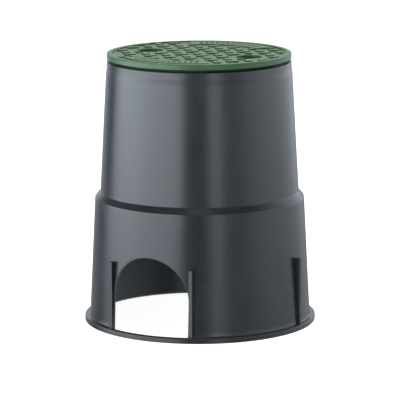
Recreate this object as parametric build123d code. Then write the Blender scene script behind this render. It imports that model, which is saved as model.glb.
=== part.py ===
from build123d import *
import os
from math import cos, degrees, radians, sin, sqrt, tan

# Round irrigation valve box: a tapered moulded body that stands over a buried valve,
# and a lid that drops into its neck. Millimetres, +Z up, origin at the centre of the base.
# The two pipe arches face -Y and +Y, and the lid's finger holes lie along X.

# Body wall, from the floor up
BODY_HEIGHT = 223.0
BASE_RADIUS = 94.6
WALL = 2.4
LOWER_DRAFT_DEG = 2.86
SHOULDER_HEIGHT = 106.9
SHOULDER_RISE = 4.9
SHOULDER_STEP = 4.6
SHOULDER_OUTER_EASE = 1.4
SHOULDER_INNER_EASE = 1.0
UPPER_DRAFT_DEG = 3.16
NECK_BAND = 5.3
NECK_BLEND = 7.0
NECK_INSET = 1.0
NECK_EASE = 2.4
FOOT_CHAMFER = 1.3

# Foot flange round the base
FLANGE_WIDTH = 4.3
FLANGE_THICKNESS = 4.4
FLANGE_EASE = 0.8

# Pipe arches and the ribs that stiffen the skirt
ARCH_WIDTH = 70.7
ARCH_SPRING_HEIGHT = 33.3
RIB_THICKNESS = 3.5
RIB_HEIGHT = 61.2
RIB_GAP = 1.0
RIB_SETBACK = 2.4
RIB_EASE = 1.0

# Ledge in the neck that the lid sits on
SEAT_LEDGE_WIDTH = 8.9
SEAT_THICKNESS = 2.8

# Lid: plate, raised rim, the step that sits on the body's rim, and the locating skirt
LID_PLATE = 3.6
LID_TOP_EASE = 0.9
LID_RIM_WIDTH = 4.5
RELIEF = 1.0
SHADOW_GAP = 2.4
SEAT_INSET = 7.4
SEAT_FLARE = 0.8
SKIRT_CLEARANCE = 0.5
SKIRT_THICKNESS = 2.2
SKIRT_DEPTH = 12.5
SKIRT_LEAD = 0.8

# Lid: finger holes
HOLE_RADIUS = 10.8
HOLE_SPACING = 94.6
HOLE_LIP = 0.9
HOLE_LAND = 5.0

# Lid: ribs on the underside
STIFFENER_COUNT = 8
STIFFENER_THICKNESS = 2.0
STIFFENER_DEPTH = 6.0

# Lid: tread bars, in alternate directions on a square grid turned 45 degrees
TREAD_PITCH = 13.8
TREAD_LENGTH = 9.6
TREAD_WIDTH = 5.2
TREAD_EASE = 0.6
TREAD_SHIFT_ACROSS = -2.95
TREAD_SHIFT_ALONG = 9.6
TREAD_MARGIN = 2.2
TREAD_LEAST_SHARE = 0.35

# Lid: the two raised arc plates, each with a row of grip slots
PLATE_INNER_RADIUS = 54.5
PLATE_OUTER_RADIUS = 69.5
PLATE_HALF_ANGLE = 35.0
SLOT_COUNT = 13
SLOT_PITCH_DEG = 4.4
SLOT_WIDTH = 2.0
SLOT_LENGTH = 7.5
SLOT_DEPTH = 0.7

# What follows from the sizes above
flange_radius = BASE_RADIUS + FLANGE_WIDTH
lower_slope = tan(radians(LOWER_DRAFT_DEG))
upper_slope = tan(radians(UPPER_DRAFT_DEG))
shoulder_top = SHOULDER_HEIGHT + SHOULDER_RISE
neck_base = BODY_HEIGHT - NECK_BAND - NECK_BLEND
lower_top_radius = BASE_RADIUS - SHOULDER_HEIGHT * lower_slope
upper_base_radius = lower_top_radius - SHOULDER_STEP
neck_radius = upper_base_radius - (neck_base - shoulder_top) * upper_slope
rim_radius = neck_radius - NECK_INSET
seat_bore_radius = rim_radius - SEAT_LEDGE_WIDTH
lid_under = BODY_HEIGHT + SHADOW_GAP
lid_field = lid_under + LID_PLATE
lid_top = lid_field + RELIEF
skirt_radius = seat_bore_radius - SKIRT_CLEARANCE
skirt_inner_radius = skirt_radius - SKIRT_THICKNESS
seat_radius = rim_radius - SEAT_INSET
arch_half = ARCH_WIDTH / 2


def turned(outline):
    """Revolve an outline about Z. A point is (radius, height), with fillet or chamfer and its size if eased."""
    face = make_face(Polyline(*[point[:2] for point in outline], close=True))
    for r, z, *easing in outline:
        if easing:
            ease, size = easing
            corner = face.vertices().sort_by_distance((r, z, 0))[0]
            face = ease(corner, size)
    return revolve(Plane.XZ * face, Axis.Z)


def arc_plate(inner, outer, half_angle):
    """Flat ring sector of the given radii, centred on +Y."""
    reach = 2 * outer
    edge = radians(90 - half_angle)
    corner = (reach * cos(edge), reach * sin(edge))
    wedge = make_face(Polyline((0, 0), corner, (-corner[0], corner[1]), close=True))
    return (Circle(outer) - Circle(inner)) & wedge


def outer_form():
    """Outside of the body as a solid: flange, two drafted tiers, shoulder and neck."""
    wall_foot = BASE_RADIUS - FLANGE_THICKNESS * lower_slope
    return turned([
        (0, 0),
        (flange_radius, 0),
        (flange_radius, FLANGE_THICKNESS, chamfer, FLANGE_EASE),
        (wall_foot, FLANGE_THICKNESS),
        (lower_top_radius, SHOULDER_HEIGHT, chamfer, SHOULDER_OUTER_EASE),
        (upper_base_radius, shoulder_top, chamfer, SHOULDER_INNER_EASE),
        (neck_radius, neck_base, chamfer, NECK_EASE),
        (rim_radius, neck_base + NECK_BLEND, chamfer, NECK_EASE),
        (rim_radius, BODY_HEIGHT),
        (0, BODY_HEIGHT),
    ])


def cavity():
    """Space inside the body: the outside less one wall, closed in by the lid's ledge, bevelled at the foot."""
    inner_foot = BASE_RADIUS - WALL
    return turned([
        (0, 0),
        (inner_foot + FOOT_CHAMFER, 0),
        (inner_foot - FOOT_CHAMFER * lower_slope, FOOT_CHAMFER),
        (lower_top_radius - WALL, SHOULDER_HEIGHT - WALL / 2),
        (upper_base_radius - WALL, shoulder_top - WALL / 2),
        (neck_radius - WALL, neck_base),
        (rim_radius - WALL, neck_base + NECK_BLEND),
        (rim_radius - WALL, BODY_HEIGHT - SEAT_THICKNESS),
        (seat_bore_radius, BODY_HEIGHT - SEAT_THICKNESS),
        (seat_bore_radius, BODY_HEIGHT),
        (0, BODY_HEIGHT),
    ])


def upright_rib(reach):
    """Rib standing in the flange along +X, from well inside the cavity out to reach."""
    root = lower_top_radius / 2
    low = FLANGE_THICKNESS / 2
    profile = make_face(Polyline((root, low), (reach, low), (reach, RIB_HEIGHT), (root, RIB_HEIGHT), close=True))
    nose = profile.vertices().sort_by_distance((reach, RIB_HEIGHT, 0))[0]
    return extrude(Plane.XZ * chamfer(nose, RIB_EASE), RIB_THICKNESS / 2, both=True)


def body_ribs():
    """A rib each side of both arches, parallel to the pipe, and one on each blank side."""
    offset = arch_half + RIB_GAP + RIB_THICKNESS / 2
    side_reach = flange_radius - RIB_SETBACK
    arch_reach = sqrt(side_reach ** 2 - (offset + RIB_THICKNESS / 2) ** 2)
    ribs = []
    for turn in (90, -90):
        for side in (offset, -offset):
            ribs.append(Rot(Z=turn) * Pos(Y=side) * upright_rib(arch_reach))
    for turn in (0, 180):
        ribs.append(Rot(Z=turn) * upright_rib(side_reach))
    return ribs


def arch_cutter():
    """Straight-sided tunnel with a round crown, through both walls along Y. Only the flange crosses it."""
    jambs = Pos(Y=ARCH_SPRING_HEIGHT - ARCH_WIDTH / 2) * Rectangle(ARCH_WIDTH, ARCH_WIDTH)
    opening = jambs + Pos(Y=ARCH_SPRING_HEIGHT) * Circle(arch_half)
    tunnel = extrude(Plane.XZ * opening, flange_radius + WALL, both=True)
    above_flange = Pos(Z=FLANGE_THICKNESS) * Box(
        ARCH_WIDTH, 3 * flange_radius, BODY_HEIGHT, align=(Align.CENTER, Align.CENTER, Align.MIN))
    within_flange = Cylinder(BASE_RADIUS, 4 * FLANGE_THICKNESS)
    return tunnel & (above_flange + within_flange)


def box_body():
    """The body: shell, ribs and flange in one piece, open below."""
    body = outer_form() + body_ribs()
    return body - cavity() - arch_cutter()


def lid_form():
    """Turned form of the lid: plate, raised rim, seating step and locating skirt."""
    skirt_low = lid_under - SKIRT_DEPTH
    rim_inner = rim_radius - LID_RIM_WIDTH
    return turned([
        (0, lid_under),
        (skirt_inner_radius, lid_under),
        (skirt_inner_radius, skirt_low),
        (skirt_radius, skirt_low, chamfer, SKIRT_LEAD),
        (skirt_radius, BODY_HEIGHT),
        (seat_radius, BODY_HEIGHT),
        (seat_radius + SEAT_FLARE, lid_under),
        (rim_radius, lid_under),
        (rim_radius, lid_top, chamfer, LID_TOP_EASE),
        (rim_inner, lid_top),
        (rim_inner, lid_field),
        (0, lid_field),
    ])


def hole_places():
    """Centres of the two finger holes."""
    return [Pos(X=side * HOLE_SPACING / 2) for side in (-1, 1)]


def finger_hole_cutter():
    """Round hole through the plate, eased at the top."""
    return turned([
        (0, BODY_HEIGHT),
        (HOLE_RADIUS, BODY_HEIGHT),
        (HOLE_RADIUS, lid_field - HOLE_LIP),
        (HOLE_RADIUS + HOLE_LIP, lid_field),
        (HOLE_RADIUS + HOLE_LIP, lid_top),
        (0, lid_top),
    ])


def underside():
    """Ribs under the plate, crossing at the middle and ending in the skirt."""
    length = 2 * skirt_radius - SKIRT_THICKNESS
    web = Rectangle(length, STIFFENER_THICKNESS)
    ribs = [Rot(Z=(k + 0.5) * 360 / STIFFENER_COUNT) * web for k in range(STIFFENER_COUNT // 2)]
    outline = ribs[0] + ribs[1:]
    return extrude(Pos(Z=lid_under - STIFFENER_DEPTH) * outline, STIFFENER_DEPTH + LID_PLATE / 2)


def plate_faces(margin=0.0):
    """Both arc plates, widened by a margin on request."""
    spread = PLATE_HALF_ANGLE + degrees(margin / PLATE_OUTER_RADIUS)
    plate = arc_plate(PLATE_INNER_RADIUS - margin, PLATE_OUTER_RADIUS + margin, spread)
    return [plate, Rot(Z=180) * plate]


def tread_field():
    """Where tread bars may stand: clear of the rim, the plates and the finger holes."""
    field = Circle(rim_radius - LID_RIM_WIDTH - TREAD_MARGIN)
    for plate in plate_faces(TREAD_MARGIN):
        field -= plate
    for place in hole_places():
        field -= place * Circle(HOLE_RADIUS + HOLE_LAND)
    return field


def tread_bars():
    """Bars of the tread, trimmed to the field, without the slivers."""
    bar = chamfer(Rectangle(TREAD_LENGTH, TREAD_WIDTH).vertices(), TREAD_EASE)
    least_area = TREAD_LEAST_SHARE * TREAD_LENGTH * TREAD_WIDTH
    span = int(2 * rim_radius / TREAD_PITCH)
    bars = []
    for i in range(-span, span + 1):
        for j in range(-span, span + 1):
            across = TREAD_SHIFT_ACROSS + i * TREAD_PITCH
            along = TREAD_SHIFT_ALONG + j * TREAD_PITCH
            if across ** 2 + along ** 2 < rim_radius ** 2:
                turn = 90 * ((i + j) % 2)
                bars.append(Rot(Z=45) * Pos(across, along) * Rot(Z=turn) * bar)
    field = tread_field()
    trimmed = [face for placed in bars for face in (placed & field).faces() if face.area > least_area]
    return [extrude(Pos(Z=lid_field - LID_PLATE / 2) * face, LID_PLATE / 2 + RELIEF) for face in trimmed]


def slotted_plates():
    """The raised arc plates with their rows of grip slots."""
    raised = [extrude(Pos(Z=lid_field - LID_PLATE / 2) * face, LID_PLATE / 2 + RELIEF) for face in plate_faces()]
    middle = (PLATE_INNER_RADIUS + PLATE_OUTER_RADIUS) / 2
    slot = extrude(Pos(Z=lid_top - SLOT_DEPTH) * Rectangle(SLOT_WIDTH, SLOT_LENGTH), 2 * RELIEF)
    slots = []
    for turn in (0, 180):
        for k in range(SLOT_COUNT):
            angle = (k - (SLOT_COUNT - 1) / 2) * SLOT_PITCH_DEG
            slots.append(Rot(Z=turn + angle) * Pos(Y=middle) * slot)
    return raised, slots


def lid():
    """The lid: one moulding with tread, plates, finger holes and ribbed underside."""
    raised, slots = slotted_plates()
    cover = lid_form() + underside() + tread_bars() + raised
    cutter = finger_hole_cutter()
    return cover - slots - [place * cutter for place in hole_places()]


os.makedirs("parts", exist_ok=True)
export_step(box_body(), "parts/box_body.step")
export_step(lid(), "parts/lid.step")
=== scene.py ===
from math import acos, cos, degrees, pi, radians, sin, sqrt, tan

import bmesh
import bpy
from mathutils import Euler, Matrix, Vector
from mathutils.geometry import delaunay_2d_cdt


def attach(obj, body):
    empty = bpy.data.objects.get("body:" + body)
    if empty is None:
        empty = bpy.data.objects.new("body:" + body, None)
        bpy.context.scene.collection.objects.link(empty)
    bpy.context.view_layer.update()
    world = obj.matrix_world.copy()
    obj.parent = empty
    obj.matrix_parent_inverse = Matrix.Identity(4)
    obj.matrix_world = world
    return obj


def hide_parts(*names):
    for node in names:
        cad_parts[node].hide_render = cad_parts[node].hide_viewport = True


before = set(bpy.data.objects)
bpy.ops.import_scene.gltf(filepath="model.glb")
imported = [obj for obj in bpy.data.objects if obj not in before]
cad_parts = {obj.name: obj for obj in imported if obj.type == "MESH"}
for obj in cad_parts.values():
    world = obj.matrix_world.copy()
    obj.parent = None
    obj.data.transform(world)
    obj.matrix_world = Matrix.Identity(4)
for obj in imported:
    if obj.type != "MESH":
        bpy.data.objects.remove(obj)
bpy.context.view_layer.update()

# Round irrigation valve box: black tapered body, green lid with a raised tread.
# Lengths below are millimetres, as in the part's source; MM turns them into Blender's metres.
MM = 0.001

# Body wall
BODY_HEIGHT = 223.0
BASE_RADIUS = 94.6
WALL = 2.4
LOWER_SLOPE = tan(radians(2.86))
UPPER_SLOPE = tan(radians(3.16))
SHOULDER_LOW = 106.9
SHOULDER_RISE = 4.9
SHOULDER_STEP = 4.6
NECK_BAND = 5.3
NECK_BLEND = 7.0
NECK_INSET = 1.0
SEAT_WIDTH = 8.9
SEAT_THICKNESS = 2.8
SHOULDER_HIGH = SHOULDER_LOW + SHOULDER_RISE
LOWER_TOP_RADIUS = BASE_RADIUS - SHOULDER_LOW * LOWER_SLOPE
UPPER_BASE_RADIUS = LOWER_TOP_RADIUS - SHOULDER_STEP
NECK_HIGH = BODY_HEIGHT - NECK_BAND
NECK_LOW = NECK_HIGH - NECK_BLEND
NECK_RADIUS = UPPER_BASE_RADIUS - (NECK_LOW - SHOULDER_HIGH) * UPPER_SLOPE
RIM_RADIUS = NECK_RADIUS - NECK_INSET
SEAT_BORE = RIM_RADIUS - SEAT_WIDTH
SEAT_UNDER = BODY_HEIGHT - SEAT_THICKNESS

# The neck's transition has two soft bends. Each lies this far off the straight line between the two bands.
LOW_BEND_IN, LOW_BEND_UP = 0.12, 2.2
HIGH_BEND_OUT, HIGH_BEND_DOWN = 0.2, 0.4

# Foot flange, pipe arches and ribs
FLANGE_WIDTH = 4.3
FLANGE_TOP = 4.4
FOOT_FILLET = 0.9
FOOT_CHAMFER = 1.3
ARCH_RADIUS = 35.35
ARCH_SPRING = 33.3
RIB_GAP = 1.0
RIB_THICKNESS = 3.5
RIB_HEIGHT = 61.2
RIB_SETBACK = 2.4
FLANGE_RADIUS = BASE_RADIUS + FLANGE_WIDTH
RIB_REACH = FLANGE_RADIUS - RIB_SETBACK

# Lid
SHADOW_GAP = 2.4
LID_PLATE = 3.6
RELIEF = 1.0
LID_RIM_WIDTH = 4.5
SEAT_INSET = 7.4
SEAT_FLARE = 0.8
SKIRT_CLEARANCE = 0.5
SKIRT_THICKNESS = 2.2
SKIRT_DEPTH = 12.5
LID_UNDER = BODY_HEIGHT + SHADOW_GAP
LID_FIELD = LID_UNDER + LID_PLATE
LID_TOP = LID_FIELD + RELIEF
LID_RIM_INNER = RIM_RADIUS - LID_RIM_WIDTH
SEAT_STEP_RADIUS = RIM_RADIUS - SEAT_INSET
SKIRT_OUTER = SEAT_BORE - SKIRT_CLEARANCE
SKIRT_INNER = SKIRT_OUTER - SKIRT_THICKNESS
SKIRT_LOW = LID_UNDER - SKIRT_DEPTH

# Finger holes, arc plates with grip slots, tread and webs of the lid
HOLE_RADIUS = 10.8
HOLE_OFFSET = 47.3
HOLE_LIP = 0.9
HOLE_LAND = 5.0
PLATE_INNER, PLATE_OUTER = 54.5, 69.5
PLATE_HALF_ANGLE = 35.0
SLOT_COUNT = 13
SLOT_STEP = radians(4.4)
SLOT_WIDTH, SLOT_LENGTH, SLOT_DEPTH = 2.0, 7.5, 0.7
TREAD_PITCH = 13.8
TREAD_LENGTH, TREAD_WIDTH = 9.6, 5.2
TREAD_ACROSS, TREAD_ALONG = -2.95, 9.6
TREAD_ROWS = 13
TREAD_MARGIN = 2.2
TREAD_LEAST_SHARE = 0.35
WEB_COUNT = 4
WEB_THICKNESS, WEB_DEPTH = 2.0, 6.0

# How far raised pieces are sunk into what carries them
EMBED = 0.6

# Rounds of the moulding's corners
SHOULDER_OUTER_ROUND, SHOULDER_INNER_ROUND = 1.8, 1.5
LOW_BEND_ROUND, HIGH_BEND_ROUND = 8.0, 5.0
RIM_ROUND, SEAT_ROUND = 0.4, 0.5
INSIDE_NECK_ROUND = 3.0
INSIDE_SHOULDER_HIGH_ROUND, INSIDE_SHOULDER_LOW_ROUND = 2.0, 1.0
FLANGE_LOW_ROUND, FLANGE_HIGH_ROUND, FLANGE_ROOT_ROUND = 0.5, 0.9, 0.4
ARCH_OUTER_ROUND, ARCH_INNER_ROUND = 0.45, 0.3
RIB_ROUND = 0.45
LID_EDGE_ROUND, LID_RIM_ROUND, LID_UNDER_ROUND = 0.7, 0.35, 0.3
SKIRT_OUTER_ROUND, SKIRT_INNER_ROUND = 0.9, 0.5
TREAD_ROUND, PLATE_ROUND, WEB_ROUND = 0.3, 0.25, 0.3

# Columns of faces round the axis, and round a finger hole
COLUMNS = 288
HOLE_COLUMNS = 72


# Nodes

def add(tree, kind, inputs=None, **settings):
    """Adds a node. Inputs are constants or output sockets, by name or number."""
    node = tree.nodes.new(kind)
    for key, value in settings.items():
        setattr(node, key, value)
    for key, value in (inputs or {}).items():
        socket = node.inputs[key]
        if isinstance(value, bpy.types.NodeSocket):
            tree.links.new(value, socket)
        else:
            socket.default_value = value
    return node


def linear(code, alpha=1.0):
    """sRGB hex colour as linear RGBA."""
    channels = [int(code[i:i + 2], 16) / 255 for i in (1, 3, 5)]
    bent = [c / 12.92 if c <= 0.04045 else ((c + 0.055) / 1.055) ** 2.4 for c in channels]
    return (*bent, alpha)


def new_tree(name, given):
    """Empty Geometry Nodes tree with a geometry input, the named inputs and a geometry output."""
    tree = bpy.data.node_groups.new(name, "GeometryNodeTree")
    tree.interface.new_socket("Geometry", in_out="INPUT", socket_type="NodeSocketGeometry")
    for label, (kind, value) in given.items():
        socket = tree.interface.new_socket(label, in_out="INPUT", socket_type="NodeSocket" + kind)
        if value is not None:
            socket.default_value = value
    tree.interface.new_socket("Geometry", in_out="OUTPUT", socket_type="NodeSocketGeometry")
    return tree, add(tree, "NodeGroupInput").outputs


def close_tree(tree, geometry, material):
    """Ends a tree: real geometry with its material, the way the export needs it."""
    real = add(tree, "GeometryNodeRealizeInstances", {"Geometry": geometry})
    painted = add(tree, "GeometryNodeSetMaterial", {"Geometry": real.outputs[0], "Material": material})
    add(tree, "NodeGroupOutput", {"Geometry": painted.outputs[0]})


# Materials

# The mould's grain is about 0.1 mm, too fine to show, so it is drawn 1.1 mm wide. Gloss and tone drift over
# patches about as wide as a hand's fingers, where the box was gripped and rubbed.
GRAIN_MM = 1.1
PATCH_MM = 45.0


def new_material(name):
    """Empty material and its node tree."""
    material = bpy.data.materials.new(name)
    material.use_nodes = True
    material.node_tree.nodes.clear()
    return material, material.node_tree


def moulded_polypropylene(name, base, worn, roughness, grain_depth_mm, wave_mm, wave_depth_mm):
    """Injection-moulded polypropylene: satin sheen, fine grain, slow waves where the wall shrank."""
    material, tree = new_material(name)
    place = add(tree, "ShaderNodeTexCoord").outputs["Object"]
    patch = add(tree, "ShaderNodeTexNoise", {
        "Vector": place, "Scale": 1000.0 / PATCH_MM, "Detail": 4.0, "Roughness": 0.6})
    tone = add(tree, "ShaderNodeMapRange", {"Value": patch.outputs[0], "From Min": 0.35, "From Max": 0.7})
    colour = add(tree, "ShaderNodeMix", {
        0: tone.outputs[0], 6: linear(base), 7: linear(worn)}, data_type="RGBA")
    gloss = add(tree, "ShaderNodeMapRange", {
        "Value": patch.outputs[0], "From Min": 0.3, "From Max": 0.7,
        "To Min": roughness - 0.02, "To Max": roughness + 0.03})
    grain = add(tree, "ShaderNodeTexNoise", {
        "Vector": place, "Scale": 1000.0 / GRAIN_MM, "Detail": 2.0, "Roughness": 0.5})
    fine = add(tree, "ShaderNodeBump", {
        "Height": grain.outputs[0], "Strength": 1.0, "Distance": grain_depth_mm * MM})
    drawn = add(tree, "ShaderNodeMapping", {"Vector": place, "Scale": (1.0, 1.0, 0.25)})
    wave = add(tree, "ShaderNodeTexNoise", {
        "Vector": drawn.outputs[0], "Scale": 1000.0 / wave_mm, "Detail": 1.0, "Roughness": 0.4})
    slow = add(tree, "ShaderNodeBump", {
        "Height": wave.outputs[0], "Strength": 1.0, "Distance": wave_depth_mm * MM,
        "Normal": fine.outputs[0]})
    shader = add(tree, "ShaderNodeBsdfPrincipled", {
        "Base Color": colour.outputs[2], "Roughness": gloss.outputs[0], "IOR": 1.49,
        "Normal": slow.outputs[0]})
    add(tree, "ShaderNodeOutputMaterial", {"Surface": shader.outputs[0]})
    return material


# Black polypropylene, coloured with carbon and moulded in smooth steel. To the eye it is a cool near-black,
# and its satin sheen draws each light in the room out into a soft upright band.
black_polypropylene = moulded_polypropylene(
    "black moulded polypropylene", "#1E2122", "#23282A", 0.26,
    grain_depth_mm=0.02, wave_mm=45.0, wave_depth_mm=0.35)

# Green polypropylene, moulded in duller, spark-eroded steel. To the eye it is a flat leaf green, a bit paler
# and greyer where it faces the light, with no clear reflection.
green_polypropylene = moulded_polypropylene(
    "green moulded polypropylene", "#2B4E29", "#335631", 0.39,
    grain_depth_mm=0.03, wave_mm=30.0, wave_depth_mm=0.1)


# Meshes

def around(r, z, angle):
    """Point at radius r and height z, angle in degrees from +X."""
    a = radians(angle)
    return Vector((r * cos(a), r * sin(a), z)) * MM


def eased(outline, steps=5, lead=0.4):
    """Open outline of (r, z) points. A (r, z, radius) corner becomes an arc with a short lead each side."""
    points = []
    for k, (r, z, *radius) in enumerate(outline):
        here = Vector((r, z))
        if not radius:
            points.append(here)
            continue
        back = (Vector(outline[k - 1][:2]) - here).normalized()
        ahead = (Vector(outline[k + 1][:2]) - here).normalized()
        half = acos(max(-1.0, min(1.0, back.dot(ahead)))) / 2
        reach = radius[0] / tan(half)
        centre = here + (back + ahead).normalized() * radius[0] / sin(half)
        start, end = here + back * reach, here + ahead * reach
        sweep = (start - centre).angle_signed(end - centre)
        points.append(start + back * lead)
        for j in range(steps + 1):
            spoke = start - centre
            turn = -sweep * j / steps
            points.append(centre + Vector((
                spoke.x * cos(turn) - spoke.y * sin(turn), spoke.x * sin(turn) + spoke.y * cos(turn))))
        points.append(end + ahead * lead)
    return [(p.x, p.y) for p in points]


def add_grid(bm, rows, closed=False):
    """Quads between rows of points, each row joined end to start if closed."""
    made = [[bm.verts.new(p) for p in row] for row in rows]
    for low, high in zip(made, made[1:]):
        count = len(low) if closed else len(low) - 1
        for k in range(count):
            n = (k + 1) % len(low)
            bm.faces.new((low[k], low[n], high[n], high[k]))


def add_turned(bm, outline, columns=COLUMNS, centre=(0.0, 0.0)):
    """Outline turned full circle about a vertical axis through centre."""
    shift = Vector((centre[0], centre[1], 0.0)) * MM
    rows = [[around(r, z, 360 * k / columns) + shift for k in range(columns)] for r, z in outline]
    add_grid(bm, rows, closed=True)


def add_pierced_disc(bm, radius, z, holes):
    """Flat disc at height z with round holes of (x, y, rings). Rings are radii, the first the hole's own."""
    flat, edges = [], []

    def loop(cx, cy, r, count):
        first = len(flat)
        for k in range(count):
            a = 2 * pi * k / count
            flat.append(Vector((cx + r * cos(a), cy + r * sin(a))))
            edges.append((first + k, first + (k + 1) % count))

    loop(0.0, 0.0, radius, COLUMNS)
    for x, y, rings in holes:
        for r in rings:
            loop(x, y, r, HOLE_COLUMNS)
    points, _, faces, *_ = delaunay_2d_cdt(flat, edges, [], 0, 1e-6)
    verts = [bm.verts.new((p.x * MM, p.y * MM, z * MM)) for p in points]
    for face in faces:
        middle = sum((points[i] for i in face), Vector((0.0, 0.0))) / len(face)
        if all((middle - Vector((x, y))).length > rings[0] * 0.999 for x, y, rings in holes):
            bm.faces.new([verts[i] for i in face])


def finish_mesh(name, bm, material, sharp_angle=40.0):
    """Merges doubles, points the faces outwards and makes the object."""
    bmesh.ops.remove_doubles(bm, verts=bm.verts, dist=0.002 * MM)
    bmesh.ops.recalc_face_normals(bm, faces=bm.faces)
    mesh = bpy.data.meshes.new(name)
    bm.to_mesh(mesh)
    bm.free()
    mesh.shade_smooth()
    mesh.set_sharp_from_angle(angle=radians(sharp_angle))
    mesh.materials.append(material)
    piece = bpy.data.objects.new(name, mesh)
    bpy.context.scene.collection.objects.link(piece)
    return piece


def grown(name, tree, values, start=None, bevel_mm=0.0, segments=2):
    """Runs a Geometry Nodes tree, eases its edges and keeps the result as one plain mesh."""
    source = bpy.data.objects.new(name + "_source", start or bpy.data.meshes.new(name + "_source"))
    bpy.context.scene.collection.objects.link(source)
    modifier = source.modifiers.new("grown", "NODES")
    modifier.node_group = tree
    for item in tree.interface.items_tree:
        if item.in_out == "INPUT" and item.name in values:
            modifier[item.identifier] = values[item.name]
    if bevel_mm:
        ease = source.modifiers.new("eased edges", "BEVEL")
        ease.width = bevel_mm * MM
        ease.segments = segments
        ease.limit_method = "ANGLE"
        ease.angle_limit = radians(40)
        ease.harden_normals = True
    graph = bpy.context.evaluated_depsgraph_get()
    mesh = bpy.data.meshes.new_from_object(source.evaluated_get(graph), depsgraph=graph)
    mesh.name = name
    bpy.data.objects.remove(source)
    piece = bpy.data.objects.new(name, mesh)
    bpy.context.scene.collection.objects.link(piece)
    return piece


# Body

# The patch of wall round an arch: its columns of faces, and its angle, each side of the arch's middle
ARCH_COLUMNS = 24
ARCH_SIDE = ARCH_COLUMNS * 360 / COLUMNS

# Heights of the lower wall's rows of points, closest at its foot. The patch's border has them too.
WALL_LOW = 0.05
WALL_HIGH = 104.4
WALL_ROWS = [WALL_LOW, FOOT_CHAMFER, FLANGE_TOP, 4.52, 4.8, 5.3, 9, 14, 20, 27, ARCH_SPRING,
             38, 45, 52, 58, 65, 72, 79, 86, 93, 99, WALL_HIGH]
JAMB_ROWS = WALL_ROWS.index(ARCH_SPRING)


def outer_radius(z):
    """Radius of the lower wall's outside, with the small fillet at its foot."""
    rise = min(max(z - FLANGE_TOP, 0.0), FOOT_FILLET)
    flare = FOOT_FILLET - sqrt(FOOT_FILLET ** 2 - (FOOT_FILLET - rise) ** 2)
    return BASE_RADIUS - z * LOWER_SLOPE + flare


def inner_radius(z):
    """Radius of the lower wall's inside, with the bevel at its foot."""
    return BASE_RADIUS - WALL - z * LOWER_SLOPE + max(FOOT_CHAMFER - z, 0.0)


def arch_line():
    """The arch's outline, from one jamb's foot to the other's: (x, z, outward x, outward z)."""
    jamb = [(-ARCH_RADIUS, z, -1.0, 0.0) for z in WALL_ROWS[:JAMB_ROWS + 1]]
    haunch = len(WALL_ROWS) - 1 - JAMB_ROWS
    angles = [180 - 45 * (k + 1) / haunch for k in range(haunch)]
    angles += [135 - 90 * (k + 1) / (2 * ARCH_COLUMNS) for k in range(2 * ARCH_COLUMNS)]
    crown = [(cos(radians(a)), sin(radians(a))) for a in angles]
    left = jamb + [(ARCH_RADIUS * c, ARCH_SPRING + ARCH_RADIUS * s, c, s) for c, s in crown]
    return left + [(-x, z, -nx, nz) for x, z, nx, nz in reversed(left[:len(WALL_ROWS) - 1])]


def frame_line(radius):
    """The patch's outer border, matched point for point to the arch's outline: (x, z)."""
    def at(degrees_off, z):
        return radius(z) * sin(radians(degrees_off)), z
    left = [at(-ARCH_SIDE, z) for z in WALL_ROWS]
    step = 360 / COLUMNS
    top = [at(-ARCH_SIDE + step * (k + 1), WALL_HIGH) for k in range(2 * ARCH_COLUMNS)]
    return left + top + [(-x, z) for x, z in reversed(left[:-1])]


def arch_patch(radius, ease, inward):
    """Rows of points on the wall round an arch, from its rounded edge out to the patch's border, facing -Y.

    Inward is 1 for the wall's outside and -1 for its inside.
    """
    line, border = arch_line(), frame_line(radius)
    turns = [0.0, 22.5, 45.0, 67.5, 90.0]
    rows = []
    for t in turns:
        off, sunk = ease * (1 - cos(radians(t))), ease * (1 - sin(radians(t)))
        rows.append([(x + nx * off, z + nz * off, sunk) for x, z, nx, nz in line])
    lead = ease + 0.5
    near = [(x + nx * lead, z + nz * lead) for x, z, nx, nz in line]
    for share in (0.0, 0.12, 0.28, 0.5, 0.75, 1.0):
        rows.append([
            (a + (c - a) * share, b + (d - b) * share, 0.0) for (a, b), (c, d) in zip(near, border)])
    return [
        [Vector((x, -sqrt(radius(z) ** 2 - x * x) + inward * sunk, z)) * MM for x, z, sunk in row]
        for row in rows]


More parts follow.
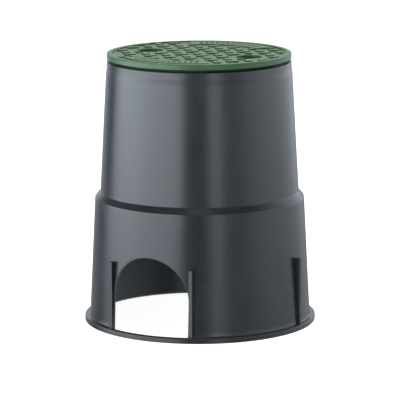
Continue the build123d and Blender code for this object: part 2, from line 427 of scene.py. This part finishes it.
def body_wall():
    """Both tiers of the wall with neck and seat as one closed shell, pierced by the two arches."""
    bm = bmesh.new()
    lowest = (outer_radius(WALL_HIGH), WALL_HIGH)
    add_turned(bm, eased([
        lowest,
        (LOWER_TOP_RADIUS, SHOULDER_LOW, SHOULDER_OUTER_ROUND),
        (UPPER_BASE_RADIUS, SHOULDER_HIGH, SHOULDER_INNER_ROUND),
        (NECK_RADIUS - LOW_BEND_IN, NECK_LOW + LOW_BEND_UP, LOW_BEND_ROUND),
        (RIM_RADIUS + HIGH_BEND_OUT, NECK_HIGH - HIGH_BEND_DOWN, HIGH_BEND_ROUND),
        (RIM_RADIUS, BODY_HEIGHT, RIM_ROUND),
        (SEAT_BORE, BODY_HEIGHT, SEAT_ROUND),
        (SEAT_BORE, SEAT_UNDER),
        (RIM_RADIUS - WALL, SEAT_UNDER),
        (RIM_RADIUS - WALL, NECK_HIGH, INSIDE_NECK_ROUND),
        (NECK_RADIUS - WALL, NECK_LOW, INSIDE_NECK_ROUND),
        (UPPER_BASE_RADIUS - WALL, SHOULDER_HIGH - WALL / 2, INSIDE_SHOULDER_HIGH_ROUND),
        (LOWER_TOP_RADIUS - WALL, SHOULDER_LOW - WALL / 2, INSIDE_SHOULDER_LOW_ROUND),
        (inner_radius(WALL_HIGH), WALL_HIGH),
    ]))
    step = 360 / COLUMNS
    first = -90 + ARCH_SIDE
    between = round((180 - 2 * ARCH_SIDE) / step)
    for turn in (0, 180):
        angles = [first + turn + step * k for k in range(between + 1)]
        outside = [[around(outer_radius(z), z, a) for a in angles] for z in WALL_ROWS]
        inside = [[around(inner_radius(z), z, a) for a in angles] for z in WALL_ROWS]
        add_grid(bm, outside)
        add_grid(bm, inside)
        add_grid(bm, [outside[0], inside[0]])
        spin = -1 if turn else 1
        outside = arch_patch(outer_radius, ARCH_OUTER_ROUND, 1)
        inside = arch_patch(inner_radius, ARCH_INNER_ROUND, -1)
        for rows in (outside, inside):
            for row in rows:
                for p in row:
                    p.xy = p.xy * spin
        add_grid(bm, outside)
        add_grid(bm, inside)
        add_grid(bm, [outside[0], inside[0]])
        for end in (0, -1):
            add_grid(bm, [[row[end] for row in outside], [row[end] for row in inside]])
    add_turned(bm, eased([
        (BASE_RADIUS, 0.0),
        (FLANGE_RADIUS, 0.0, FLANGE_LOW_ROUND),
        (FLANGE_RADIUS, FLANGE_TOP, FLANGE_HIGH_ROUND),
        (BASE_RADIUS, FLANGE_TOP, FLANGE_ROOT_ROUND),
        (BASE_RADIUS, 0.0),
    ], lead=0.1))
    return finish_mesh("box_wall", bm, black_polypropylene)


def rib_pair_tree():
    """Two upright blades opposite each other: a block from root to reach, its root leaning with the wall."""
    tree, given = new_tree("opposite ribs", {
        "Root": ("Float", 0.0), "Reach": ("Float", 0.0), "Low": ("Float", 0.0), "High": ("Float", 0.0),
        "Thickness": ("Float", 0.0), "Lean": ("Float", 0.0), "Aside": ("Float", 0.0), "Turn": ("Float", 0.0)})
    long = add(tree, "ShaderNodeMath", {0: given["Reach"], 1: given["Root"]}, operation="SUBTRACT")
    tall = add(tree, "ShaderNodeMath", {0: given["High"], 1: given["Low"]}, operation="SUBTRACT")
    size = add(tree, "ShaderNodeCombineXYZ", {0: long.outputs[0], 1: given["Thickness"], 2: tall.outputs[0]})
    block = add(tree, "GeometryNodeMeshCube", {"Size": size.outputs[0]})
    split = add(tree, "ShaderNodeSeparateXYZ", {0: add(tree, "GeometryNodeInputPosition").outputs[0]})
    at_root = add(tree, "ShaderNodeMath", {0: split.outputs[0], 1: 0.0}, operation="LESS_THAN")
    below_top = add(tree, "ShaderNodeMath", {
        0: tall.outputs[0], 1: 0.5, 2: split.outputs[2]}, operation="MULTIPLY_ADD")
    drop = add(tree, "ShaderNodeMath", {0: tall.outputs[0], 1: below_top.outputs[0]}, operation="SUBTRACT")
    lean = add(tree, "ShaderNodeMath", {0: drop.outputs[0], 1: given["Lean"]}, operation="MULTIPLY")
    shift = add(tree, "ShaderNodeMath", {0: lean.outputs[0], 1: at_root.outputs[0]}, operation="MULTIPLY")
    aslant = add(tree, "ShaderNodeCombineXYZ", {0: shift.outputs[0]})
    blade = add(tree, "GeometryNodeSetPosition", {"Geometry": block.outputs[0], "Offset": aslant.outputs[0]})
    far = add(tree, "ShaderNodeMath", {0: given["Reach"], 1: given["Root"]}, operation="ADD")
    high = add(tree, "ShaderNodeMath", {0: given["High"], 1: given["Low"]}, operation="ADD")
    double = add(tree, "ShaderNodeMath", {0: given["Aside"], 1: 2.0}, operation="MULTIPLY")
    middle = add(tree, "ShaderNodeCombineXYZ", {0: far.outputs[0], 1: double.outputs[0], 2: high.outputs[0]})
    halved = add(tree, "ShaderNodeVectorMath", {0: middle.outputs[0], "Scale": 0.5}, operation="SCALE")
    placed = add(tree, "GeometryNodeTransform", {
        "Geometry": blade.outputs[0], "Translation": halved.outputs[0]})
    ends = add(tree, "GeometryNodeMeshLine", {"Count": 2, "Offset": (0.0, 0.0, 0.0)})
    index = add(tree, "GeometryNodeInputIndex")
    half_turns = add(tree, "ShaderNodeMath", {
        0: index.outputs[0], 1: pi, 2: given["Turn"]}, operation="MULTIPLY_ADD")
    spin = add(tree, "ShaderNodeCombineXYZ", {2: half_turns.outputs[0]})
    copies = add(tree, "GeometryNodeInstanceOnPoints", {
        "Points": ends.outputs[0], "Instance": placed.outputs[0], "Rotation": spin.outputs[0]})
    add(tree, "NodeGroupOutput", {"Geometry": copies.outputs[0]})
    return tree


def ribs_tree():
    """All six ribs of the body: beside both jambs of the arches and on the two blank sides."""
    names = ("Low", "High", "Thickness", "Lean")
    tree, given = new_tree("body ribs", {
        "Arch Root": ("Float", 0.0), "Arch Reach": ("Float", 0.0), "Arch Aside": ("Float", 0.0),
        "Side Root": ("Float", 0.0), "Side Reach": ("Float", 0.0),
        "Low": ("Float", 0.0), "High": ("Float", 0.0), "Thickness": ("Float", 0.0), "Lean": ("Float", 0.0),
        "Material": ("Material", None)})
    pair = rib_pair_tree()
    opposite = add(tree, "ShaderNodeMath", {0: given["Arch Aside"], 1: -1.0}, operation="MULTIPLY")
    join = add(tree, "GeometryNodeJoinGeometry")
    for root, reach, aside, turn in (
            (given["Arch Root"], given["Arch Reach"], given["Arch Aside"], pi / 2),
            (given["Arch Root"], given["Arch Reach"], opposite.outputs[0], pi / 2),
            (given["Side Root"], given["Side Reach"], 0.0, 0.0)):
        blades = tree.nodes.new("GeometryNodeGroup")
        blades.node_tree = pair
        wanted = {"Root": root, "Reach": reach, "Aside": aside, "Turn": turn, **{n: given[n] for n in names}}
        for label, value in wanted.items():
            if isinstance(value, bpy.types.NodeSocket):
                tree.links.new(value, blades.inputs[label])
            else:
                blades.inputs[label].default_value = value
        tree.links.new(blades.outputs[0], join.inputs[0])
    close_tree(tree, join.outputs[0], given["Material"])
    return tree


def body_ribs():
    """Ribs from inside the wall to the flange's edge."""
    inner_edge = ARCH_RADIUS + RIB_GAP
    aside = inner_edge + RIB_THICKNESS / 2
    outer_edge = inner_edge + RIB_THICKNESS
    root_at_top = inner_radius(RIB_HEIGHT) + 0.4 * WALL
    return grown("box_ribs", ribs_tree(), {
        "Arch Root": sqrt(root_at_top ** 2 - inner_edge ** 2) * MM,
        "Arch Reach": sqrt(RIB_REACH ** 2 - outer_edge ** 2) * MM,
        "Arch Aside": aside * MM,
        "Side Root": root_at_top * MM,
        "Side Reach": RIB_REACH * MM,
        "Low": 0.5 * FLANGE_TOP * MM,
        "High": RIB_HEIGHT * MM,
        "Thickness": RIB_THICKNESS * MM,
        "Lean": LOWER_SLOPE,
        "Material": black_polypropylene,
    }, bevel_mm=RIB_ROUND, segments=3)


# Lid

def lid_cover():
    """Lid without its tread: field, raised rim, seating step, skirt and the walls of the finger holes."""
    bm = bmesh.new()
    add_turned(bm, eased([
        (LID_RIM_INNER, LID_FIELD),
        (LID_RIM_INNER, LID_TOP, LID_RIM_ROUND),
        (RIM_RADIUS, LID_TOP, LID_EDGE_ROUND),
        (RIM_RADIUS, LID_UNDER, LID_UNDER_ROUND),
        (SEAT_STEP_RADIUS + SEAT_FLARE, LID_UNDER),
        (SEAT_STEP_RADIUS, BODY_HEIGHT),
        (SKIRT_OUTER, BODY_HEIGHT),
        (SKIRT_OUTER, SKIRT_LOW, SKIRT_OUTER_ROUND),
        (SKIRT_INNER, SKIRT_LOW, SKIRT_INNER_ROUND),
        (SKIRT_INNER, LID_UNDER),
    ], lead=0.15))
    places = [(-HOLE_OFFSET, 0.0), (HOLE_OFFSET, 0.0)]
    mouth = HOLE_RADIUS + HOLE_LIP
    add_pierced_disc(bm, LID_RIM_INNER, LID_FIELD, [(x, y, (mouth, mouth + 0.4)) for x, y in places])
    add_pierced_disc(bm, SKIRT_INNER, LID_UNDER, [(x, y, (HOLE_RADIUS,)) for x, y in places])
    lip = eased([(mouth + 1, LID_FIELD), (HOLE_RADIUS, LID_FIELD, HOLE_LIP), (HOLE_RADIUS, LID_UNDER)])
    from_mouth_down = lip[2:]
    for place in places:
        add_turned(bm, from_mouth_down, HOLE_COLUMNS, place)
    return finish_mesh("lid_cover", bm, green_polypropylene)


def arc_points(inner, outer, half_angle, steps=40):
    """Outline of a ring sector centred on +Y."""
    angles = [90 - half_angle + 2 * half_angle * k / steps for k in range(steps + 1)]
    return [around(outer, 0, a).xy for a in angles] + [around(inner, 0, a).xy for a in reversed(angles)]


def add_prism(bm, outline, low, high):
    """Upright prism over a flat outline in metres, between heights in mm."""
    bottom = [bm.verts.new((p.x, p.y, low * MM)) for p in outline]
    top = [bm.verts.new((p.x, p.y, high * MM)) for p in outline]
    bm.faces.new(bottom[::-1])
    bm.faces.new(top)
    for k in range(len(outline)):
        n = (k + 1) % len(outline)
        bm.faces.new((bottom[k], bottom[n], top[n], top[k]))


def plain_mesh(name, bm):
    """Keeps the work mesh as mesh data, for a tree to start from."""
    bmesh.ops.recalc_face_normals(bm, faces=bm.faces)
    mesh = bpy.data.meshes.new(name)
    bm.to_mesh(mesh)
    bm.free()
    return mesh


def tread_zone():
    """What the tread keeps out of, as one cutter: both arc plates and the lands round the two holes."""
    bm = bmesh.new()
    spare = 3
    low, high = LID_FIELD - spare, LID_TOP + spare
    spread = PLATE_HALF_ANGLE + degrees(TREAD_MARGIN / PLATE_OUTER)
    sector = arc_points(PLATE_INNER - TREAD_MARGIN, LID_RIM_INNER + spare, spread)
    add_prism(bm, sector, low, high)
    add_prism(bm, [-p for p in sector], low, high)
    for x in (-HOLE_OFFSET, HOLE_OFFSET):
        middle = Vector((x, 0.0)) * MM
        land = [
            around(HOLE_RADIUS + HOLE_LAND, 0, 360 * k / HOLE_COLUMNS).xy + middle
            for k in range(HOLE_COLUMNS)]
        add_prism(bm, land, low, high)
    return plain_mesh("tread_keep_out", bm)


def tread_tree():
    """Bars in alternate directions on a square grid at 45 degrees, cut to the field, without the slivers."""
    tree, given = new_tree("tread bars", {
        "Pitch": ("Float", 0.0), "Length": ("Float", 0.0), "Width": ("Float", 0.0), "Low": ("Float", 0.0),
        "High": ("Float", 0.0), "Across": ("Float", 0.0), "Along": ("Float", 0.0), "Rows": ("Int", 13),
        "Field Radius": ("Float", 0.0), "Least Share": ("Float", 0.35), "Material": ("Material", None)})
    spans = add(tree, "ShaderNodeMath", {0: given["Rows"], 1: 1.0}, operation="SUBTRACT")
    extent = add(tree, "ShaderNodeMath", {0: spans.outputs[0], 1: given["Pitch"]}, operation="MULTIPLY")
    lattice = add(tree, "GeometryNodeMeshGrid", {
        "Size X": extent.outputs[0], "Size Y": extent.outputs[0],
        "Vertices X": given["Rows"], "Vertices Y": given["Rows"]})
    tall = add(tree, "ShaderNodeMath", {0: given["High"], 1: given["Low"]}, operation="SUBTRACT")
    size = add(tree, "ShaderNodeCombineXYZ", {0: given["Length"], 1: given["Width"], 2: tall.outputs[0]})
    bar = add(tree, "GeometryNodeMeshCube", {"Size": size.outputs[0]})
    index = add(tree, "GeometryNodeInputIndex")
    parity = add(tree, "ShaderNodeMath", {0: index.outputs[0], 1: 2.0}, operation="MODULO")
    quarter = add(tree, "ShaderNodeMath", {0: parity.outputs[0], 1: pi / 2}, operation="MULTIPLY")
    spin = add(tree, "ShaderNodeCombineXYZ", {2: quarter.outputs[0]})
    bars = add(tree, "GeometryNodeInstanceOnPoints", {
        "Points": lattice.outputs[0], "Instance": bar.outputs[0], "Rotation": spin.outputs[0]})
    total = add(tree, "ShaderNodeMath", {0: given["High"], 1: given["Low"]}, operation="ADD")
    level = add(tree, "ShaderNodeMath", {0: total.outputs[0], 1: 0.5}, operation="MULTIPLY")
    offset = add(tree, "ShaderNodeCombineXYZ", {0: given["Across"], 1: given["Along"], 2: level.outputs[0]})
    moved = add(tree, "GeometryNodeTransform", {
        "Geometry": bars.outputs[0], "Translation": offset.outputs[0]})
    turned = add(tree, "GeometryNodeTransform", {
        "Geometry": moved.outputs[0], "Rotation": (0.0, 0.0, pi / 4)})
    real = add(tree, "GeometryNodeRealizeInstances", {"Geometry": turned.outputs[0]})
    disc = add(tree, "GeometryNodeMeshCylinder", {
        "Vertices": 192, "Radius": given["Field Radius"], "Depth": 0.02}, fill_type="NGON")
    lifted = add(tree, "ShaderNodeCombineXYZ", {2: level.outputs[0]})
    raised = add(tree, "GeometryNodeTransform", {
        "Geometry": disc.outputs["Mesh"], "Translation": lifted.outputs[0]})
    inside = add(tree, "GeometryNodeMeshBoolean", {}, operation="INTERSECT", solver="EXACT")
    tree.links.new(real.outputs[0], inside.inputs[1])
    tree.links.new(raised.outputs[0], inside.inputs[1])
    cut = add(tree, "GeometryNodeMeshBoolean", {0: inside.outputs[0]}, operation="DIFFERENCE", solver="EXACT")
    tree.links.new(given["Geometry"], cut.inputs[1])
    area = add(tree, "GeometryNodeInputMeshFaceArea")
    normal = add(tree, "GeometryNodeInputNormal")
    split = add(tree, "ShaderNodeSeparateXYZ", {0: normal.outputs[0]})
    upward = add(tree, "ShaderNodeMath", {0: split.outputs[2], 1: 0.5}, operation="GREATER_THAN")
    top = add(tree, "ShaderNodeMath", {0: area.outputs[0], 1: upward.outputs[0]}, operation="MULTIPLY")
    island = add(tree, "GeometryNodeInputMeshIsland")
    summed = add(tree, "GeometryNodeAccumulateField", {
        "Value": top.outputs[0], "Group ID": island.outputs["Island Index"]},
        data_type="FLOAT", domain="FACE")
    footprint = add(tree, "ShaderNodeMath", {0: given["Length"], 1: given["Width"]}, operation="MULTIPLY")
    least = add(tree, "ShaderNodeMath", {
        0: footprint.outputs[0], 1: given["Least Share"]}, operation="MULTIPLY")
    sliver = add(tree, "ShaderNodeMath", {
        0: summed.outputs["Total"], 1: least.outputs[0]}, operation="LESS_THAN")
    kept = add(tree, "GeometryNodeDeleteGeometry", {
        "Geometry": cut.outputs[0], "Selection": sliver.outputs[0]}, domain="FACE")
    close_tree(tree, kept.outputs[0], given["Material"])
    return tree


def lid_tread():
    """Tread of the lid, its bars flush with the rim."""
    return grown("lid_tread", tread_tree(), {
        "Pitch": TREAD_PITCH * MM, "Length": TREAD_LENGTH * MM, "Width": TREAD_WIDTH * MM,
        "Low": (LID_FIELD - EMBED) * MM, "High": LID_TOP * MM,
        "Across": TREAD_ACROSS * MM, "Along": TREAD_ALONG * MM, "Rows": TREAD_ROWS,
        "Field Radius": (LID_RIM_INNER - TREAD_MARGIN) * MM, "Least Share": TREAD_LEAST_SHARE,
        "Material": green_polypropylene,
    }, start=tread_zone(), bevel_mm=TREAD_ROUND)


def slots_tree():
    """Rows of grip slots cut into the two arc plates."""
    tree, given = new_tree("grip slots", {
        "Count": ("Int", 13), "Step": ("Float", 0.0), "Radius": ("Float", 0.0), "Width": ("Float", 0.0),
        "Length": ("Float", 0.0), "Floor": ("Float", 0.0), "Material": ("Material", None)})
    row = add(tree, "GeometryNodeMeshLine", {"Count": given["Count"], "Offset": (0.0, 0.0, 0.0)})
    index = add(tree, "GeometryNodeInputIndex")
    last = add(tree, "ShaderNodeMath", {0: given["Count"], 1: 1.0}, operation="SUBTRACT")
    middle = add(tree, "ShaderNodeMath", {0: last.outputs[0], 1: 0.5}, operation="MULTIPLY")
    order = add(tree, "ShaderNodeMath", {0: index.outputs[0], 1: middle.outputs[0]}, operation="SUBTRACT")
    angle = add(tree, "ShaderNodeMath", {0: order.outputs[0], 1: given["Step"]}, operation="MULTIPLY")
    spin = add(tree, "ShaderNodeCombineXYZ", {2: angle.outputs[0]})
    height = 4 * MM
    size = add(tree, "ShaderNodeCombineXYZ", {0: given["Width"], 1: given["Length"], 2: height})
    block = add(tree, "GeometryNodeMeshCube", {"Size": size.outputs[0]})
    level = add(tree, "ShaderNodeMath", {0: given["Floor"], 1: height / 2}, operation="ADD")
    place = add(tree, "ShaderNodeCombineXYZ", {1: given["Radius"], 2: level.outputs[0]})
    cutter = add(tree, "GeometryNodeTransform", {
        "Geometry": block.outputs[0], "Translation": place.outputs[0]})
    front = add(tree, "GeometryNodeInstanceOnPoints", {
        "Points": row.outputs[0], "Instance": cutter.outputs[0], "Rotation": spin.outputs[0]})
    back = add(tree, "GeometryNodeTransform", {"Geometry": front.outputs[0], "Rotation": (0.0, 0.0, pi)})
    both = add(tree, "GeometryNodeJoinGeometry")
    tree.links.new(front.outputs[0], both.inputs[0])
    tree.links.new(back.outputs[0], both.inputs[0])
    real = add(tree, "GeometryNodeRealizeInstances", {"Geometry": both.outputs[0]})
    cut = add(tree, "GeometryNodeMeshBoolean", {0: given["Geometry"]}, operation="DIFFERENCE", solver="EXACT")
    tree.links.new(real.outputs[0], cut.inputs[1])
    close_tree(tree, cut.outputs[0], given["Material"])
    return tree


def lid_arc_plates():
    """Raised arc plates in front of and behind the tread, with their grip slots."""
    bm = bmesh.new()
    sector = arc_points(PLATE_INNER, PLATE_OUTER, PLATE_HALF_ANGLE)
    add_prism(bm, sector, LID_FIELD - EMBED, LID_TOP)
    add_prism(bm, [-p for p in sector], LID_FIELD - EMBED, LID_TOP)
    return grown("lid_arc_plates", slots_tree(), {
        "Count": SLOT_COUNT, "Step": SLOT_STEP, "Radius": (PLATE_INNER + PLATE_OUTER) / 2 * MM,
        "Width": SLOT_WIDTH * MM, "Length": SLOT_LENGTH * MM, "Floor": (LID_TOP - SLOT_DEPTH) * MM,
        "Material": green_polypropylene,
    }, start=plain_mesh("arc_plates", bm), bevel_mm=PLATE_ROUND)


def webs_tree():
    """Straight ribs that cross at the middle of the lid's underside."""
    tree, given = new_tree("crossing webs", {
        "Count": ("Int", 4), "Length": ("Float", 0.0), "Thickness": ("Float", 0.0),
        "Low": ("Float", 0.0), "High": ("Float", 0.0), "Material": ("Material", None)})
    tall = add(tree, "ShaderNodeMath", {0: given["High"], 1: given["Low"]}, operation="SUBTRACT")
    size = add(tree, "ShaderNodeCombineXYZ", {0: given["Length"], 1: given["Thickness"], 2: tall.outputs[0]})
    block = add(tree, "GeometryNodeMeshCube", {"Size": size.outputs[0]})
    points = add(tree, "GeometryNodeMeshLine", {"Count": given["Count"], "Offset": (0.0, 0.0, 0.0)})
    index = add(tree, "GeometryNodeInputIndex")
    order = add(tree, "ShaderNodeMath", {0: index.outputs[0], 1: 0.5}, operation="ADD")
    share = add(tree, "ShaderNodeMath", {0: order.outputs[0], 1: given["Count"]}, operation="DIVIDE")
    angle = add(tree, "ShaderNodeMath", {0: share.outputs[0], 1: pi}, operation="MULTIPLY")
    spin = add(tree, "ShaderNodeCombineXYZ", {2: angle.outputs[0]})
    webs = add(tree, "GeometryNodeInstanceOnPoints", {
        "Points": points.outputs[0], "Instance": block.outputs[0], "Rotation": spin.outputs[0]})
    total = add(tree, "ShaderNodeMath", {0: given["High"], 1: given["Low"]}, operation="ADD")
    level = add(tree, "ShaderNodeMath", {0: total.outputs[0], 1: 0.5}, operation="MULTIPLY")
    lift = add(tree, "ShaderNodeCombineXYZ", {2: level.outputs[0]})
    lifted = add(tree, "GeometryNodeTransform", {"Geometry": webs.outputs[0], "Translation": lift.outputs[0]})
    close_tree(tree, lifted.outputs[0], given["Material"])
    return tree


def lid_webs():
    """Webs of the lid, from skirt to skirt."""
    return grown("lid_webs", webs_tree(), {
        "Count": WEB_COUNT, "Length": 2 * (SKIRT_INNER + 1) * MM, "Thickness": WEB_THICKNESS * MM,
        "Low": (LID_UNDER - WEB_DEPTH) * MM, "High": (LID_UNDER + EMBED) * MM,
        "Material": green_polypropylene,
    }, bevel_mm=WEB_ROUND)


# Pieces on their bodies

wall = body_wall()
ribs = body_ribs()
cover = lid_cover()
tread = lid_tread()
plates = lid_arc_plates()
webs = lid_webs()
for piece in (wall, ribs):
    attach(piece, "box")
for piece in (cover, tread, plates, webs):
    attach(piece, "lid")
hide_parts("box_body")
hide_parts("lid")


# Studio, in metres. Bearings are degrees to the right of the camera, as seen from the object.

CAMERA_AZIMUTH = 28.26
CAMERA_DISTANCE, CAMERA_HEIGHT = 2.2716, 0.5362
CAMERA_PITCH, CAMERA_PAN, CAMERA_ROLL = 10.807, -0.008, -0.2
CAMERA_LENS, CAMERA_SENSOR = 243.3, 36.0
SCREEN_DISTANCE = 1.6
ROOF_HEIGHT, ROOF_REACH = 1.2, 1.7
SOFTBOX_RADIUS, SOFTBOX_HEIGHT, SOFTBOX_LEVEL = 0.9, 1.5, 4.2
PANEL_WHITE = "#ECF5FF"
FLOOR_REACH = 9.0
FLOOR_GREY, FLOOR_GLOW = "#A8A8A8", 0.95
ROOM_LEVEL = 0.35

# Round screen: bearings, and how bright it is there. A large softbox on the left, a dark gap behind the
# camera, a narrow strip light, a dim right wall.
SCREEN = (
    (-172, 1.15), (-160, 1.1), (-150, 1.0), (-142, 0.65), (-135, 0.25), (-125, 0.1), (-116, 2.6),
    (-109, 4.3), (-99, 5.9), (-78, 7.0), (-56, 6.0), (-21, 5.15), (-17, 0.3), (9, 0.3), (12, 3.25),
    (24, 3.25), (27, 0.75), (46, 0.95), (58, 1.65), (80, 2.2), (110, 1.95), (130, 1.8), (150, 1.65),
    (160, 0.85), (172, 0.3))

# Its share of that brightness at each height.
SCREEN_HEIGHTS = (
    (-1.2, 0.37), (-0.25, 0.37), (-0.05, 0.7), (0.2, 1.12), (0.25, 1.12), (0.75, 0.17), (1.2, 0.17))

# The rear right keeps more of it at the top. The large softbox leans: low down, its rear edge stands some
# degrees further forward.
REAR_RIGHT, REAR_RIGHT_FROM, REAR_RIGHT_TOP = 115, 0.5, 0.8
LEAN_BEHIND, LEAN_BELOW, LEAN = -78, -0.1, 6

# Roof: how far to the right of the camera's line, and how bright it is there. Mostly dark, with a slim light
# above the object and a lighter right side, which the sloped shoulder mirrors.
ROOF = (
    (-1.7, 0.03), (-0.24, 0.03), (-0.15, 0.7), (0.15, 0.7), (0.24, 0.03), (0.85, 0.03), (1.3, 1.2),
    (1.7, 1.2))


def toward(bearing, distance, z=0.0):
    """Point in the studio at a bearing, a distance from the object's axis and a height."""
    a = radians(CAMERA_AZIMUTH + bearing)
    return Vector((distance * sin(a), -distance * cos(a), z))


def screen_level(bearing, z, share):
    """How bright the screen is at a bearing and a height."""
    if bearing > REAR_RIGHT and z > REAR_RIGHT_FROM:
        share = REAR_RIGHT_TOP
    if bearing < LEAN_BEHIND and z < LEAN_BELOW:
        bearing -= LEAN
    for (a, low), (b, high) in zip(SCREEN, SCREEN[1:]):
        if bearing <= b:
            return share * (low + (high - low) * (bearing - a) / (b - a))


def looked_at(tree):
    """1 where the camera, a mirror or glass looks at a surface, and 0 where the surface only gives light."""
    path = add(tree, "ShaderNodeLightPath")
    seen = add(tree, "ShaderNodeMath", {
        0: path.outputs["Is Camera Ray"], 1: path.outputs["Is Glossy Ray"]}, operation="MAXIMUM")
    shown = add(tree, "ShaderNodeMath", {
        0: seen.outputs[0], 1: path.outputs["Is Transmission Ray"]}, operation="MAXIMUM")
    return shown.outputs[0]


def glowing_panel(name, rows, levels):
    """Stage panel that lights the object and shows in its gloss, but not to the camera."""
    bm = bmesh.new()
    add_grid(bm, rows)
    layer = bm.verts.layers.float.new("level")
    for vert, level in zip(bm.verts, levels):
        vert[layer] = level
    mesh = bpy.data.meshes.new(name)
    bm.to_mesh(mesh)
    bm.free()
    material, tree = new_material(name)
    kept = add(tree, "ShaderNodeAttribute", attribute_name="level")
    glow = add(tree, "ShaderNodeEmission", {"Color": linear(PANEL_WHITE), "Strength": kept.outputs["Fac"]})
    add(tree, "ShaderNodeOutputMaterial", {"Surface": glow.outputs[0]})
    mesh.materials.append(material)
    panel = bpy.data.objects.new(name, mesh)
    bpy.context.scene.collection.objects.link(panel)
    panel.visible_camera = False
    panel.visible_shadow = False
    panel.visible_transmission = False


def overhead_softbox():
    """Disk lamp above the object, as bright to look at as a panel of its level."""
    data = bpy.data.lights.new("overhead softbox", "AREA")
    data.shape = "DISK"
    data.size = 2 * SOFTBOX_RADIUS
    data.energy = SOFTBOX_LEVEL * pi * pi * SOFTBOX_RADIUS ** 2
    lamp = bpy.data.objects.new("overhead softbox", data)
    lamp.location = (0.0, 0.0, SOFTBOX_HEIGHT)
    lamp.visible_camera = False
    bpy.context.scene.collection.objects.link(lamp)


def white_room():
    """World that is white wherever it is looked at, and a soft grey as light."""
    world = bpy.data.worlds.new("white studio")
    world.use_nodes = True
    world.cycles.sampling_method = "NONE"
    tree = world.node_tree
    tree.nodes.clear()
    level = add(tree, "ShaderNodeMapRange", {"Value": looked_at(tree), "To Min": ROOM_LEVEL, "To Max": 1.0})
    white = add(tree, "ShaderNodeBackground", {
        "Color": (1.0, 1.0, 1.0, 1.0), "Strength": level.outputs[0]})
    add(tree, "ShaderNodeOutputWorld", {"Surface": white.outputs[0]})
    bpy.context.scene.world = world


def paper_floor():
    """Pale floor: white where it is looked at, still darker where the object shades it."""
    bm = bmesh.new()
    bmesh.ops.create_grid(bm, x_segments=1, y_segments=1, size=FLOOR_REACH)
    mesh = bpy.data.meshes.new("floor")
    bm.to_mesh(mesh)
    bm.free()
    material, tree = new_material("white paper floor")
    lift = add(tree, "ShaderNodeMath", {0: looked_at(tree), 1: FLOOR_GLOW}, operation="MULTIPLY")
    glow = add(tree, "ShaderNodeEmission", {"Color": (1.0, 1.0, 1.0, 1.0), "Strength": lift.outputs[0]})
    matt = add(tree, "ShaderNodeBsdfDiffuse", {"Color": linear(FLOOR_GREY)})
    both = add(tree, "ShaderNodeAddShader", {0: glow.outputs[0], 1: matt.outputs[0]})
    add(tree, "ShaderNodeOutputMaterial", {"Surface": both.outputs[0]})
    mesh.materials.append(material)
    floor = bpy.data.objects.new("floor", mesh)
    bpy.context.scene.collection.objects.link(floor)
    floor.visible_glossy = False
    floor.visible_shadow = False


def photo_camera():
    """Camera at the photograph's viewing angle."""
    data = bpy.data.cameras.new("camera")
    data.sensor_width = CAMERA_SENSOR
    data.lens = CAMERA_LENS
    data.clip_end = 50.0
    camera = bpy.data.objects.new("camera", data)
    camera.location = toward(0.0, CAMERA_DISTANCE, CAMERA_HEIGHT)
    aim = Euler((radians(90 - CAMERA_PITCH), 0.0, radians(CAMERA_AZIMUTH + CAMERA_PAN))).to_matrix()
    camera.rotation_euler = (aim @ Matrix.Rotation(radians(CAMERA_ROLL), 3, "Z")).to_euler()
    bpy.context.scene.collection.objects.link(camera)
    bpy.context.scene.camera = camera


bearings = range(SCREEN[0][0], SCREEN[-1][0] + 1)
glowing_panel(
    "round screen",
    [[toward(bearing, SCREEN_DISTANCE, z) for bearing in bearings] for z, _ in SCREEN_HEIGHTS],
    [screen_level(bearing, z, share) for z, share in SCREEN_HEIGHTS for bearing in bearings])
glowing_panel(
    "studio roof",
    [[toward(90, u, ROOF_HEIGHT) + toward(0, v) for u, _ in ROOF] for v in (-ROOF_REACH, ROOF_REACH)],
    [level for _ in range(2) for _, level in ROOF])
overhead_softbox()
white_room()
paper_floor()
photo_camera()
bpy.context.scene.view_settings.view_transform = "Standard"
